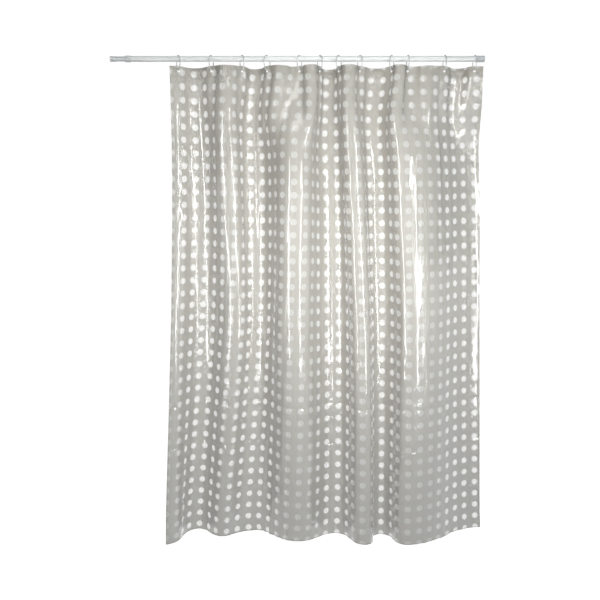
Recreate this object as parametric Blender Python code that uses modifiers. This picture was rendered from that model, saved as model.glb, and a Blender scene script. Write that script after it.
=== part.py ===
"""Shower curtain: a dotted vinyl sheet on twelve open rings, hung from a telescopic tension rod.

The origin is the centre of the right foot's wall face, on the rod's axis. +X points into that wall,
+Z is up, and the front of the curtain faces -Y. Lengths are in metres.
"""

import math

import bmesh
import bpy
import numpy as np

# The sheet, as cut.
CURTAIN_WIDTH = 1.800
CURTAIN_HEIGHT = 2.000
SHEET_THICKNESS = 0.0003
HEADER_HEIGHT = 0.043
HEADER_THICKNESS = 0.0003
EDGE_MARGIN = 0.0354  # side edge to the first hole's centre
HOLE_DIAMETER = 0.011
HEM_ABOVE_HOLE = 0.0144  # top edge of the sheet to the top of a hole

# The rings. Each span is the distance between two rings as a share of the cloth between their holes,
# and each turn is a ring's angle about the vertical, in degrees, front strand to the right.
RING_DIAMETER = 0.060
RING_WIRE = 0.004
RING_OPENING_ANGLE = 50  # where the hoop is open: degrees above the horizontal, at the back
RING_SPANS = (0.833, 0.776, 0.630, 0.821, 0.515, 0.477, 0.534, 0.802, 0.407, 0.929, 0.757)
RING_TURNS = (23, -11, 20, -22, -18, 18, -23, 14, -24, 2, 3, 1)

# The rod. Places along it are distances from the right wall.
OUTER_TUBE_DIAMETER = 0.022
TUBE_WALL = 0.001
TUBE_CLEARANCE = 0.0005  # between the two tubes, all round
INNER_TUBE_LENGTH = 0.800
FOOT_WALL_RIGHT = 0.001
FOOT_LENGTH_RIGHT = 0.032
FOOT_FLOOR_RIGHT = 0.006
PLUG_LENGTH = 0.024
LAST_RING_TO_FOOT = 0.006  # from the middle of its wire
FIRST_RING_TO_COLLAR = 0.186
COLLAR_WALL = 0.00165
COLLAR_LENGTH = 0.024
COLLAR_LIP = 0.003
COLLET_LENGTH = 0.0114
COLLET_SLOT = 0.002
STUB_LENGTH = 0.046  # the inner tube that shows beyond the collar
FOOT_TRAVEL = 0.009
FOOT_WALL_LEFT = 0.00085
FOOT_FLOOR_LEFT = 0.004
FOOT_OVERLAP_LEFT = 0.008  # how far the left foot's skirt covers the inner tube
PLUNGER_LENGTH = 0.034
SPRING_LENGTH = 0.072
SPRING_WIRE = 0.0016
SPRING_TURNS = 6
SPRING_CLEARANCE = 0.0012  # between the coil and the bore
SEAT_LENGTH = 0.008
BUSH_FLANGE = 0.005
BUSH_SPIGOT = 0.020

# Fits.
GAP = 0.0003  # between pieces that touch
SLIDING_GAP = 0.00035
CHAMFER = 0.0006

# How the sheet hangs. Under the rings the film settles into nine half waves, between the places where
# it is nearest to the front and furthest from it. Each is (share of the width, heading at its middle
# in degrees), and a positive heading runs away from the front as it goes right.
UPPER_FOLDS = (
    (0.0633, 40),
    (0.0872, -53),
    (0.0872, 66),
    (0.1512, -60),
    (0.1111, 82),
    (0.0872, -82),
    (0.0878, 69),
    (0.0872, -76),
    (0.2378, 38),
)
HEM_FOLDS = (
    (0.1233, 60),
    (0.0700, -50),
    (0.0739, 38),
    (0.1500, -37),
    (0.1111, 41),
    (0.1039, -55),
    (0.0683, 82),
    (0.0939, -59),
    (0.2056, 35),
)
SETTLING_DROP = 0.45  # below the header, where the spans between rings have become waves
HEM_SPREAD = 0.115  # how much wider the sheet hangs at its hem
HEM_SPREAD_LEFT = 0.60  # the share of that on the left
SPREAD_POWER = 1.7
ROW_DROPS = (0.05, 0.11, 0.18, 0.27, 0.40, 0.55, 0.70, 0.85, 1.0)  # shares of the height under the header

# Fineness.
FACET_LENGTH = 0.0225  # along the width of the sheet, before it is fitted to the spans
STEPS_PER_FACET = 6
ROUND_STEPS = 24
RING_SIDES = 24
SPRING_POINTS_PER_TURN = 9
HOLE_SIDES = 16
HOLE_CUT_DEPTH = 0.0176  # the cutter reaches through the sheet and its header at any turn

# How closely the folds are fitted to the rings.
SPAN_SAMPLES = 96
FIT_ROUNDS = 60
FIT_NUDGE = 0.00001
FIT_STEP = 0.2
WIDEST_GAIN = 2.0  # the most a row's headings can be turned up by to take in its width

# What follows from the sizes above.
RING_COUNT = len(RING_TURNS)
HOLE_PITCH = (CURTAIN_WIDTH - 2 * EDGE_MARGIN) / (RING_COUNT - 1)
FACETS_PER_SPAN = round(HOLE_PITCH / FACET_LENGTH)
RING_RADIUS = (RING_DIAMETER - RING_WIRE) / 2  # to the middle of the wire
RING_CENTRE_Z = OUTER_TUBE_DIAMETER / 2 + GAP + RING_WIRE / 2 - RING_RADIUS
RING_FOOT_Z = RING_CENTRE_Z - RING_RADIUS  # middle of the wire at the lowest point
HOLE_Z = RING_FOOT_Z + RING_WIRE / 2 + GAP - HOLE_DIAMETER / 2
SHEET_TOP_Z = HOLE_Z + HOLE_DIAMETER / 2 + HEM_ABOVE_HOLE

OUTER_BORE = OUTER_TUBE_DIAMETER - 2 * TUBE_WALL
INNER_TUBE_DIAMETER = OUTER_BORE - 2 * TUBE_CLEARANCE
INNER_BORE = INNER_TUBE_DIAMETER - 2 * TUBE_WALL


def ring_places():
    """Each ring's distance from the right wall, from ring 1 on the left to the last ring."""
    place = FOOT_LENGTH_RIGHT + LAST_RING_TO_FOOT
    places = [place]
    for span in reversed(RING_SPANS):
        place += span * HOLE_PITCH
        places.append(place)
    return places[::-1]


RING_PLACES = ring_places()
COLLAR_START = RING_PLACES[0] + FIRST_RING_TO_COLLAR
COLLAR_END = COLLAR_START + COLLAR_LENGTH
COLLET_END = COLLAR_END - COLLAR_LIP - GAP
COLLET_START = COLLET_END - COLLET_LENGTH
OUTER_TUBE_START = FOOT_FLOOR_RIGHT + GAP
OUTER_TUBE_END = COLLET_START - GAP
INNER_TUBE_END = COLLAR_END + STUB_LENGTH
INNER_TUBE_START = INNER_TUBE_END - INNER_TUBE_LENGTH
FOOT_LEFT_FLOOR = INNER_TUBE_END + FOOT_TRAVEL
ROD_LENGTH = FOOT_LEFT_FLOOR + FOOT_FLOOR_LEFT
PLUNGER_END = FOOT_LEFT_FLOOR - GAP
PLUNGER_START = PLUNGER_END - PLUNGER_LENGTH
SPRING_END = PLUNGER_START - GAP
SPRING_START = SPRING_END - SPRING_LENGTH
SEAT_END = SPRING_START - GAP
SEAT_START = SEAT_END - SEAT_LENGTH


# Set-up.


def clear_scene():
    for item in list(bpy.data.objects):
        bpy.data.objects.remove(item, do_unlink=True)


def new_collection(name):
    made = bpy.data.collections.new(name)
    bpy.context.scene.collection.children.link(made)
    return made


clear_scene()
PIECES = new_collection("shower_curtain")
CUTTERS = new_collection("cutters")


def finish(name, colour, roughness, metallic=0.0, alpha=1.0):
    """A plain finish: its colour, how rough it is and whether it is metal."""
    made = bpy.data.materials.new(name)
    made.use_nodes = True
    shader = made.node_tree.nodes["Principled BSDF"]
    shader.inputs["Base Color"].default_value = (*colour, 1)
    shader.inputs["Roughness"].default_value = roughness
    shader.inputs["Metallic"].default_value = metallic
    shader.inputs["Alpha"].default_value = alpha
    return made


def add_piece(name, data, material):
    """Puts a mesh or curve in the scene as a piece of the curtain."""
    piece = bpy.data.objects.new(name, data)
    if material.name not in data.materials:
        data.materials.append(material)
    PIECES.objects.link(piece)
    return piece


def add_cutter(name, mesh):
    """Puts a mesh in the scene as a cutter, which is never part of the curtain."""
    cutter = bpy.data.objects.new(name, mesh)
    cutter.hide_render = True
    cutter.display_type = "WIRE"
    CUTTERS.objects.link(cutter)
    return cutter


def cut(piece, cutter):
    boolean = piece.modifiers.new("cut", "BOOLEAN")
    boolean.operation = "DIFFERENCE"
    boolean.solver = "EXACT"
    boolean.object = cutter


def turned(name, profile, material):
    """A piece turned about the rod's axis. The profile's points are (radius, distance from the right
    wall), and the outer side is run through towards the right wall. A profile that doesn't reach the
    axis is closed back through its bore."""
    mesh = bpy.data.meshes.new(name)
    corners = [(radius, 0, along) for radius, along in profile]
    edges = [(k, k + 1) for k in range(len(corners) - 1)]
    if profile[0][0] > 0:
        edges.append((len(corners) - 1, 0))
    mesh.from_pydata(corners, edges, [])
    piece = add_piece(name, mesh, material)
    piece.rotation_euler = (0, math.radians(-90), 0)
    screw = piece.modifiers.new("turn", "SCREW")
    screw.axis = "Z"
    screw.angle = math.tau
    screw.steps = ROUND_STEPS
    screw.render_steps = ROUND_STEPS
    screw.use_merge_vertices = True
    screw.merge_threshold = 0.00001
    screw.use_smooth_shade = True
    return piece


def solid_rod_profile(radius, start, end):
    """A plain round bar from start to end, with its edges chamfered."""
    return (
        (0, end),
        (radius - CHAMFER, end),
        (radius, end - CHAMFER),
        (radius, start + CHAMFER),
        (radius - CHAMFER, start),
        (0, start),
    )


def tube_profile(outer_radius, inner_radius, start, end):
    return (
        (outer_radius, end),
        (outer_radius, start),
        (inner_radius, start),
        (inner_radius, end),
    )


def wire(name, points, thickness, material):
    """A round wire through the points, with flat ends."""
    curve = bpy.data.curves.new(name, "CURVE")
    curve.dimensions = "3D"
    curve.bevel_depth = thickness / 2
    curve.bevel_resolution = 2
    curve.use_fill_caps = True
    spline = curve.splines.new("POLY")
    spline.points.add(len(points) - 1)
    for spot, place in zip(spline.points, points):
        spot.co = (*place, 1)
    return add_piece(name, curve, material)


# The rod's fixed half: the outer tube with its foot on the right wall.

ENAMEL = finish("rod_enamel", (0.80, 0.84, 0.84), 0.28)
FOOT_RUBBER = finish("foot_rubber", (0.74, 0.77, 0.77), 0.55)
MOULDED = finish("rod_plastic", (0.78, 0.80, 0.80), 0.40)
STEEL = finish("spring_steel", (0.55, 0.56, 0.58), 0.30, metallic=1.0)


def outer_tube():
    profile = tube_profile(OUTER_TUBE_DIAMETER / 2, OUTER_BORE / 2, OUTER_TUBE_START, OUTER_TUBE_END)
    turned("outer_tube", profile, ENAMEL)


def foot_right():
    """A rubber cup over the end of the outer tube, flat against the wall."""
    bore = OUTER_TUBE_DIAMETER / 2 + GAP
    radius = bore + FOOT_WALL_RIGHT
    profile = (
        (0, FOOT_FLOOR_RIGHT),
        (bore, FOOT_FLOOR_RIGHT),
        (bore, FOOT_LENGTH_RIGHT),
        (radius - CHAMFER, FOOT_LENGTH_RIGHT),
        (radius, FOOT_LENGTH_RIGHT - CHAMFER),
        (radius, CHAMFER),
        (radius - CHAMFER, 0),
        (0, 0),
    )
    turned("foot_right", profile, FOOT_RUBBER)


def end_plug():
    """The plastic plug that stiffens the outer tube behind the foot."""
    start = OUTER_TUBE_START
    profile = solid_rod_profile(OUTER_BORE / 2 - GAP, start, start + PLUG_LENGTH)
    turned("end_plug", profile, MOULDED)


def lock_collet():
    """A split bush at the mouth of the outer tube, which the collar closes on the inner tube."""
    outer = OUTER_TUBE_DIAMETER / 2
    inner = INNER_TUBE_DIAMETER / 2 + SLIDING_GAP
    collet = turned("lock_collet", tube_profile(outer, inner, COLLET_START, COLLET_END), MOULDED)
    shape = bmesh.new()
    bmesh.ops.create_cube(shape, size=1)
    for corner in shape.verts:
        corner.co.x = -(COLLET_START + COLLET_END) / 2 + corner.co.x * COLLET_LENGTH * 2
        corner.co.y *= COLLET_SLOT
        corner.co.z = (corner.co.z + 0.5) * OUTER_TUBE_DIAMETER
    mesh = bpy.data.meshes.new("collet_slot")
    shape.to_mesh(mesh)
    shape.free()
    cut(collet, add_cutter("collet_slot", mesh))


# The twist collar that locks the rod's length.


def lock_collar():
    bore = OUTER_TUBE_DIAMETER / 2 + SLIDING_GAP
    outer = bore + COLLAR_WALL
    lip = INNER_TUBE_DIAMETER / 2 + SLIDING_GAP
    profile = (
        (lip, COLLAR_END),
        (outer - CHAMFER, COLLAR_END),
        (outer, COLLAR_END - CHAMFER),
        (outer, COLLAR_START + CHAMFER),
        (outer - CHAMFER, COLLAR_START),
        (bore, COLLAR_START),
        (bore, COLLAR_END - COLLAR_LIP),
        (lip, COLLAR_END - COLLAR_LIP),
    )
    turned("lock_collar", profile, MOULDED)


# The rod's sliding half: the inner tube with its bush, spring and sprung foot.


def inner_tube():
    profile = tube_profile(INNER_TUBE_DIAMETER / 2, INNER_BORE / 2, INNER_TUBE_START, INNER_TUBE_END)
    turned("inner_tube", profile, ENAMEL)


def guide_bush():
    """A plug in the hidden end of the inner tube, whose flange runs in the outer tube."""
    flange = OUTER_BORE / 2 - GAP
    spigot = INNER_BORE / 2 - GAP
    shoulder = INNER_TUBE_START - GAP
    profile = (
        (0, shoulder + BUSH_SPIGOT),
        (spigot, shoulder + BUSH_SPIGOT),
        (spigot, shoulder),
        (flange, shoulder),
        (flange, shoulder - BUSH_FLANGE),
        (0, shoulder - BUSH_FLANGE),
    )
    turned("guide_bush", profile, MOULDED)


def spring_seat():
    profile = solid_rod_profile(INNER_BORE / 2 - GAP, SEAT_START, SEAT_END)
    turned("spring_seat", profile, MOULDED)


def tension_spring():
    """A coil spring in the inner tube, between its seat and the plunger."""
    radius = INNER_BORE / 2 - SPRING_WIRE / 2 - SPRING_CLEARANCE
    start = SPRING_START + SPRING_WIRE / 2
    length = SPRING_LENGTH - SPRING_WIRE
    count = SPRING_TURNS * SPRING_POINTS_PER_TURN
    points = []
    for k in range(count + 1):
        angle = math.tau * k / SPRING_POINTS_PER_TURN
        along = -(start + length * k / count)
        points.append((along, radius * math.cos(angle), radius * math.sin(angle)))
    wire("tension_spring", points, SPRING_WIRE, STEEL)


def plunger():
    """The pin that the spring pushes out of the inner tube's end."""
    profile = solid_rod_profile(INNER_BORE / 2 - SLIDING_GAP, PLUNGER_START, PLUNGER_END)
    turned("plunger", profile, MOULDED)


def foot_left():
    """A rubber cup on the plunger, whose skirt slides over the end of the inner tube."""
    bore = INNER_TUBE_DIAMETER / 2 + SLIDING_GAP
    radius = bore + FOOT_WALL_LEFT
    open_end = INNER_TUBE_END - FOOT_OVERLAP_LEFT
    profile = (
        (0, ROD_LENGTH),
        (radius - CHAMFER, ROD_LENGTH),
        (radius, ROD_LENGTH - CHAMFER),
        (radius, open_end),
        (bore, open_end),
        (bore, FOOT_LEFT_FLOOR),
        (0, FOOT_LEFT_FLOOR),
    )
    turned("foot_left", profile, FOOT_RUBBER)


# The rings: open hoops of plastic wire that hang on the outer tube.

RING_PLASTIC = finish("ring_plastic", (0.82, 0.83, 0.82), 0.30)


def curtain_ring():
    """The first ring, at the rod's origin. It has a point at its lowest and highest places, and one
    side of the hoop is left open."""
    side = math.tau / RING_SIDES
    lowest = -math.pi / 2
    opening = math.radians(RING_OPENING_ANGLE)
    first = lowest + side * math.ceil((opening - lowest) / side)
    points = []
    for k in range(RING_SIDES):
        angle = first + side * k
        points.append((0, RING_RADIUS * math.cos(angle), RING_RADIUS * math.sin(angle)))
    return wire("ring_01", points, RING_WIRE, RING_PLASTIC)


def curtain_rings():
    first = curtain_ring()
    for number, (place, turn) in enumerate(zip(RING_PLACES, RING_TURNS), 1):
        ring = first if number == 1 else add_piece(f"ring_{number:02d}", first.data, RING_PLASTIC)
        ring.location = (-place, 0, RING_CENTRE_Z)
        ring.rotation_euler = (0, 0, math.radians(turn))


# The sheet: one width of vinyl film, hung from its holes in folds. A row of the sheet is a curve of
# the cut width in plan, so the folds take up the width that the rings don't span.

FILM = finish("sheet_vinyl", (0.52, 0.51, 0.47), 0.22, alpha=0.75)


def path(headings, steps):
    """The plan curve that starts at the origin and runs along the headings, step by step."""
    across = np.concatenate([[0], np.cumsum(np.cos(headings) * steps)])
    away = np.concatenate([[0], np.cumsum(np.sin(headings) * steps)])
    return across, away


def span_heading(share, left, right, depth, lean):
    """The heading within one span, at a share of the way from its left ring to its right one."""
    blend = (1 - np.cos(np.pi * share)) / 2
    folds = depth * np.sin(2 * np.pi * share) + lean * np.sin(np.pi * share)
    return left * (1 - blend) + right * blend + folds


def fitted_span(number):
    """The fold's depth and lean that carry the cloth of one span from ring to ring."""
    left, right = (math.radians(turn) for turn in RING_TURNS[number : number + 2])
    share = (np.arange(SPAN_SAMPLES) + 0.5) / SPAN_SAMPLES
    wanted = np.array([RING_SPANS[number], 0.0])

    def reach(depth, lean):
        headings = span_heading(share, left, right, depth, lean)
        return np.array([np.cos(headings).mean(), np.sin(headings).mean()])

    # A span between two rings turned towards the back bulges to the back, and the other way round.
    depth, lean, nudge = (1.0 if left - right >= 0 else -1.0), 0.0, FIT_NUDGE
    for _ in range(FIT_ROUNDS):
        miss = reach(depth, lean) - wanted
        slope = np.column_stack(
            [
                (reach(depth + nudge, lean) - reach(depth - nudge, lean)) / (2 * nudge),
                (reach(depth, lean + nudge) - reach(depth, lean - nudge)) / (2 * nudge),
            ]
        )
        change = np.linalg.solve(slope, miss)
        depth, lean = (depth, lean) - np.clip(change, -FIT_STEP, FIT_STEP)
    return left, right, depth, lean


def top_headings(places):
    """The heading at each place along the sheet's top, where the folds run from ring to ring."""
    spans = [fitted_span(number) for number in range(RING_COUNT - 1)]
    along = (places - EDGE_MARGIN) / HOLE_PITCH
    number = np.clip(np.floor(along).astype(int), 0, RING_COUNT - 2)
    left, right, depth, lean = np.array(spans)[number].T
    return span_heading(np.clip(along - number, 0, 1), left, right, depth, lean)


def wave_headings(places, share):
    """The heading at each place along the sheet, where it hangs in waves. They shift evenly from the
    upper folds to the hem's as the share of the height grows."""
    folds = np.array(UPPER_FOLDS) * (1 - share) + np.array(HEM_FOLDS) * share
    lengths = CURTAIN_WIDTH * folds[:, 0] / folds[:, 0].sum()
    headings = np.zeros_like(places)
    start = 0.0
    for length, peak in zip(lengths, np.radians(folds[:, 1])):
        within = (places >= start) & (places < start + length)
        headings[within] = peak * np.sin(np.pi * (places[within] - start) / length)
        start += length
    return headings


def sheet_columns():
    """Where the sheet's lines of points stand along its width: half a facet either side of a hole,
    so that each hole is cut in one flat facet."""
    facet = HOLE_PITCH / FACETS_PER_SPAN
    spans = np.arange((RING_COUNT - 1) * FACETS_PER_SPAN) + 0.5
    inner = EDGE_MARGIN + spans * facet
    first, last = inner[0] - facet, inner[-1] + facet
    return np.concatenate([[0, first], inner, [last, CURTAIN_WIDTH]])


def smooth(share):
    share = min(max(share, 0.0), 1.0)
    return share * share * (3 - 2 * share)


class Hang:
    """The sheet's plan curve at any depth below the header."""

    def __init__(self):
        self.columns = sheet_columns()
        parts = np.arange(STEPS_PER_FACET)
        widths = np.diff(self.columns)
        self.steps = np.repeat(widths / STEPS_PER_FACET, STEPS_PER_FACET)
        starts = self.columns[:-1, None] + widths[:, None] * (parts + 0.5) / STEPS_PER_FACET
        self.middles = starts.ravel()
        self.top = top_headings(self.middles)
        across, away = path(self.top, self.steps)
        self.top_width = across[-1]
        ends = np.concatenate([[0], np.cumsum(self.steps)])
        self.left = -RING_PLACES[0] - np.interp(EDGE_MARGIN, ends, across)
        self.top_away = -np.interp(EDGE_MARGIN, ends, away)

    def row(self, share):
        """Plan points and headings at a share of the height under the header."""
        settled = smooth(share * (CURTAIN_HEIGHT - HEADER_HEIGHT) / SETTLING_DROP)
        headings = self.top * (1 - settled) + wave_headings(self.middles, share) * settled
        wanted = self.top_width + HEM_SPREAD * share**SPREAD_POWER
        low, high = 0.0, WIDEST_GAIN
        for _ in range(FIT_ROUNDS):
            gain = (low + high) / 2 if share > 0 else 1.0
            across, away = path(headings * gain, self.steps)
            low, high = (gain, high) if across[-1] > wanted else (low, gain)
        left = self.left - HEM_SPREAD * HEM_SPREAD_LEFT * share**SPREAD_POWER
        back = self.top_away * (1 - settled) - away.mean() * settled
        at = np.arange(len(self.columns)) * STEPS_PER_FACET
        slopes = np.gradient(away[at], self.columns), np.gradient(across[at], self.columns)
        return left + across[at], back + away[at], np.arctan2(*slopes)


def lofted(name, rows):
    """An open sheet through rows of points, from its bottom row to its top one."""
    shape = bmesh.new()
    last_column, last_row = len(rows[0]) - 1, len(rows) - 1
    bmesh.ops.create_grid(shape, x_segments=last_column, y_segments=last_row, size=1)
    for corner in shape.verts:
        column = round((corner.co.x + 1) / 2 * last_column)
        row = round((corner.co.y + 1) / 2 * last_row)
        corner.co = rows[row][column]
    mesh = bpy.data.meshes.new(name)
    shape.to_mesh(mesh)
    shape.free()
    mesh.shade_smooth()
    return mesh


def thicken(piece, thickness):
    solidify = piece.modifiers.new("film", "SOLIDIFY")
    solidify.thickness = thickness
    solidify.offset = 0


def hole_cutters():
    """One short bar at each hole, along the ring's wire."""
    shape = bmesh.new()
    for place, turn in zip(RING_PLACES, RING_TURNS):
        made = bmesh.ops.create_cone(
            shape,
            cap_ends=True,
            segments=HOLE_SIDES,
            radius1=HOLE_DIAMETER / 2,
            radius2=HOLE_DIAMETER / 2,
            depth=HOLE_CUT_DEPTH,
        )
        angle = math.radians(turn)
        for corner in made["verts"]:
            up, across, along = corner.co
            corner.co.x = -place + across * math.cos(angle) - along * math.sin(angle)
            corner.co.y = across * math.sin(angle) + along * math.cos(angle)
            corner.co.z = HOLE_Z + up
    mesh = bpy.data.meshes.new("hole_cutters")
    shape.to_mesh(mesh)
    shape.free()
    return add_cutter("hole_cutters", mesh)


def curtain_sheet(hang, holes):
    header_z = SHEET_TOP_Z - HEADER_HEIGHT
    fall = CURTAIN_HEIGHT - HEADER_HEIGHT
    levels = [(SHEET_TOP_Z, 0.0), (header_z, 0.0)]
    levels += [(header_z - fall * share, share) for share in ROW_DROPS]
    rows = []
    for height, share in reversed(levels):
        across, away, _ = hang.row(share)
        rows.append([(x, y, height) for x, y in zip(across, away)])
    sheet = add_piece("curtain_sheet", lofted("curtain_sheet", rows), FILM)
    thicken(sheet, SHEET_THICKNESS)
    cut(sheet, holes)


def header_band(hang, holes):
    """The strip that is welded to the back of the sheet's top edge, around the holes."""
    across, away, headings = hang.row(0.0)
    off = SHEET_THICKNESS / 2 + GAP + HEADER_THICKNESS / 2
    across = across - np.sin(headings) * off
    away = away + np.cos(headings) * off
    heights = (SHEET_TOP_Z - HEADER_HEIGHT, SHEET_TOP_Z)
    rows = [[(x, y, height) for x, y in zip(across, away)] for height in heights]
    band = add_piece("header_band", lofted("header_band", rows), FILM)
    thicken(band, HEADER_THICKNESS)
    cut(band, holes)


def rod():
    outer_tube()
    foot_right()
    end_plug()
    lock_collet()
    lock_collar()
    inner_tube()
    guide_bush()
    spring_seat()
    tension_spring()
    plunger()
    foot_left()


def sheet():
    hang = Hang()
    holes = hole_cutters()
    curtain_sheet(hang, holes)
    header_band(hang, holes)


rod()
curtain_rings()
sheet()
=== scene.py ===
import math

import bmesh
import bpy
import numpy as np
from mathutils import Matrix, Vector, noise


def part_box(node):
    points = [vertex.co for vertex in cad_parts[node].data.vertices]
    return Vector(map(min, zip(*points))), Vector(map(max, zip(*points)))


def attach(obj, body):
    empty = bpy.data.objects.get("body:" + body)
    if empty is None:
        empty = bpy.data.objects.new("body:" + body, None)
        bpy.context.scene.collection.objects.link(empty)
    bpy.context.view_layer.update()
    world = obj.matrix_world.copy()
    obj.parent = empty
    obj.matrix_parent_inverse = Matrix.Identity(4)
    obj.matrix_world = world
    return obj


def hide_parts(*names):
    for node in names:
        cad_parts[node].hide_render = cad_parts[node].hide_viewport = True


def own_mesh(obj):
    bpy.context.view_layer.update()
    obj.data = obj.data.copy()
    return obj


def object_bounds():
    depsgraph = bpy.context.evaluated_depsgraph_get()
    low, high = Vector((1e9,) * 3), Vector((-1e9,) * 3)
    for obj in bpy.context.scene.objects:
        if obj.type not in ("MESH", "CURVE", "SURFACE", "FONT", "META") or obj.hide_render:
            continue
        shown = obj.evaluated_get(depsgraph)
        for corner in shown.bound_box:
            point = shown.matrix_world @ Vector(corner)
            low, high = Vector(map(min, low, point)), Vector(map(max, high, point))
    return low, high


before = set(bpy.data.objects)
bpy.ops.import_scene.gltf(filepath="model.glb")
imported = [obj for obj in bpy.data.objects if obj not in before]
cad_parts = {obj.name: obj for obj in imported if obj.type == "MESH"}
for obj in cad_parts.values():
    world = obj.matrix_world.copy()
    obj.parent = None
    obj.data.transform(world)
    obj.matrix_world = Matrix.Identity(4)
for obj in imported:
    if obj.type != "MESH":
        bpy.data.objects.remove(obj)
cad_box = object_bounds()


# The outer tube.
# A thin-walled steel tube with white enamel baked on, which the rings hang on. It is rolled from strip, so
# its mouth is cut square.


class Link:
    """A value on its way through a material. Sums on it add the material's Math nodes."""

    def __init__(self, finish, socket):
        self.finish = finish
        self.socket = socket

    def maths(self, operation, *values):
        inputs = dict(enumerate(values))
        return self.finish.node("ShaderNodeMath", {"operation": operation}, inputs)

    def __add__(self, other):
        return self.maths("ADD", self, other)

    def __radd__(self, other):
        return self.maths("ADD", other, self)

    def __sub__(self, other):
        return self.maths("SUBTRACT", self, other)

    def __rsub__(self, other):
        return self.maths("SUBTRACT", other, self)

    def __mul__(self, other):
        return self.maths("MULTIPLY", self, other)

    def __rmul__(self, other):
        return self.maths("MULTIPLY", other, self)

    def __truediv__(self, other):
        return self.maths("DIVIDE", self, other)

    def __rtruediv__(self, other):
        return self.maths("DIVIDE", other, self)

    def fraction(self):
        return self.maths("FRACT", self)

    def root(self):
        return self.maths("SQRT", self)


class Finish:
    """A material, built up node by node on its Principled shader."""

    def __init__(self, name, **inputs):
        self.material = bpy.data.materials.new(name)
        self.material.use_nodes = True
        self.tree = self.material.node_tree
        self.shader = self.tree.nodes["Principled BSDF"]
        self.set(**inputs)

    def node(self, kind, settings, inputs, output=0):
        """Adds a node: its settings first, then the values or links of its sockets."""
        made = self.tree.nodes.new(kind)
        for name, value in settings.items():
            setattr(made, name, value)
        for name, value in inputs.items():
            self.feed(made.inputs[name], value)
        return Link(self, made.outputs[output])

    def feed(self, socket, value):
        """Links a socket to a Link, or sets it to a plain value."""
        if isinstance(value, Link):
            self.tree.links.new(value.socket, socket)
        else:
            socket.default_value = value

    def set(self, **inputs):
        """Sets the shader's own sockets, by their names with _ for a space."""
        for name, value in inputs.items():
            self.feed(self.shader.inputs[name.replace("_", " ")], value)

    def place(self):
        """Where a point is on the object, in metres."""
        return self.node("ShaderNodeTexCoord", {}, {}, "Object")

    def stored(self, name):
        """A value that the mesh holds at each of its points, by its name."""
        return self.node("ShaderNodeAttribute", {"attribute_name": name}, {}, "Fac")

    def noise(self, where, scale, detail=2.0, stretch=(1, 1, 1)):
        """Soft random blotches from 0 to 1, finer as the scale goes up."""
        stretched = self.node("ShaderNodeMapping", {}, {"Vector": where, "Scale": stretch})
        inputs = {"Vector": stretched, "Scale": scale, "Detail": detail}
        return self.node("ShaderNodeTexNoise", {}, inputs)

    def fade(self, value, low, high, to_low=0.0, to_high=1.0):
        """Runs smoothly from to_low to to_high as the value goes from low to high."""
        inputs = {"Value": value, 1: low, 2: high, 3: to_low, 4: to_high}
        return self.node("ShaderNodeMapRange", {"interpolation_type": "SMOOTHSTEP"}, inputs)

    def mix(self, share, first, second):
        """A colour between two, at a share of the way. Each is a link or red, green and blue."""
        colours = [(*colour, 1) if isinstance(colour, tuple) else colour for colour in (first, second)]
        inputs = {0: share, 6: colours[0], 7: colours[1]}
        return self.node("ShaderNodeMix", {"data_type": "RGBA"}, inputs, 2)

    def bump(self, height, depth, strength=1.0):
        """The shader's normal, tilted by a height that is worth this many metres at 1."""
        inputs = {"Height": height, "Distance": depth, "Strength": strength}
        self.set(Normal=self.node("ShaderNodeBump", {}, inputs))


def enamel(name, colour, worn):
    """Baked enamel: slightly uneven in tone, with the fine ripple of a sprayed coat."""
    coat = Finish(name, IOR=1.5, Coat_Weight=0.2, Coat_Roughness=0.25)
    where = coat.place()
    blotches = coat.noise(where, 9.0, 3.0)
    coat.set(Base_Color=coat.mix(blotches, colour, worn))
    coat.set(Roughness=coat.fade(coat.noise(where, 60.0), 0.3, 0.7, 0.32, 0.42))
    coat.bump(coat.noise(where, 420.0, 1.0), 0.00001)
    return coat.material


def finished(name, mesh, material, body, cad_node, smooth_angle=35):
    """Puts a finished mesh in the scene: it rides on a body and stands for a node of the frame."""
    piece = bpy.data.objects.new(name, mesh)
    bpy.context.scene.collection.objects.link(piece)
    mesh.materials.clear()
    mesh.materials.append(material)
    mesh.shade_smooth()
    mesh.set_sharp_from_angle(angle=math.radians(smooth_angle))
    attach(piece, body)
    if cad_node:
        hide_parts(cad_node)
    return piece


def turned(name, profile, steps=96):
    """A mesh turned about the rod's axis, from (radius, place along X) points that run round it
    anticlockwise when they are drawn with X to the right. Those on the axis close its ends."""
    points, rings = [], []
    for radius, along in profile:
        count = steps if radius > 0 else 1
        rings.append([len(points) + k % count for k in range(steps)])
        for k in range(count):
            angle = math.tau * k / steps
            points.append((along, radius * math.sin(angle), radius * math.cos(angle)))
    faces = []
    closed = profile[0][0] > 0
    for ring, following in zip(rings, rings[1:] + rings[:1] if closed else rings[1:]):
        for k in range(steps):
            corners = (ring[k], ring[k - 1], following[k - 1], following[k])
            faces.append(tuple(dict.fromkeys(corners)))
    mesh = bpy.data.meshes.new(name)
    mesh.from_pydata(points, [], faces)
    return mesh


def rounded(radius, along, corner, quarter, steps=4):
    """The points of a rounded edge, a quarter turn of this radius. The quarter says where its
    middle lies: (1, 1) is outwards and to the right."""
    out, right = quarter
    points = []
    for k in range(steps + 1):
        angle = math.pi / 2 * k / steps
        outwards = out * corner * (math.cos(angle) - 1)
        sideways = right * corner * (math.sin(angle) - 1)
        points.append((radius + outwards, along + sideways))
    return points


tube_low, tube_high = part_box("outer_tube")
TUBE_RADIUS = (tube_high.z - tube_low.z) / 2
TUBE_WALL = 0.001
TUBE_EDGE = 0.0003
ENAMEL_WHITE = (0.90, 0.93, 0.93)
ENAMEL_SHADE = (0.87, 0.905, 0.91)

rod_enamel = enamel("rod_enamel", ENAMEL_WHITE, ENAMEL_SHADE)


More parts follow.
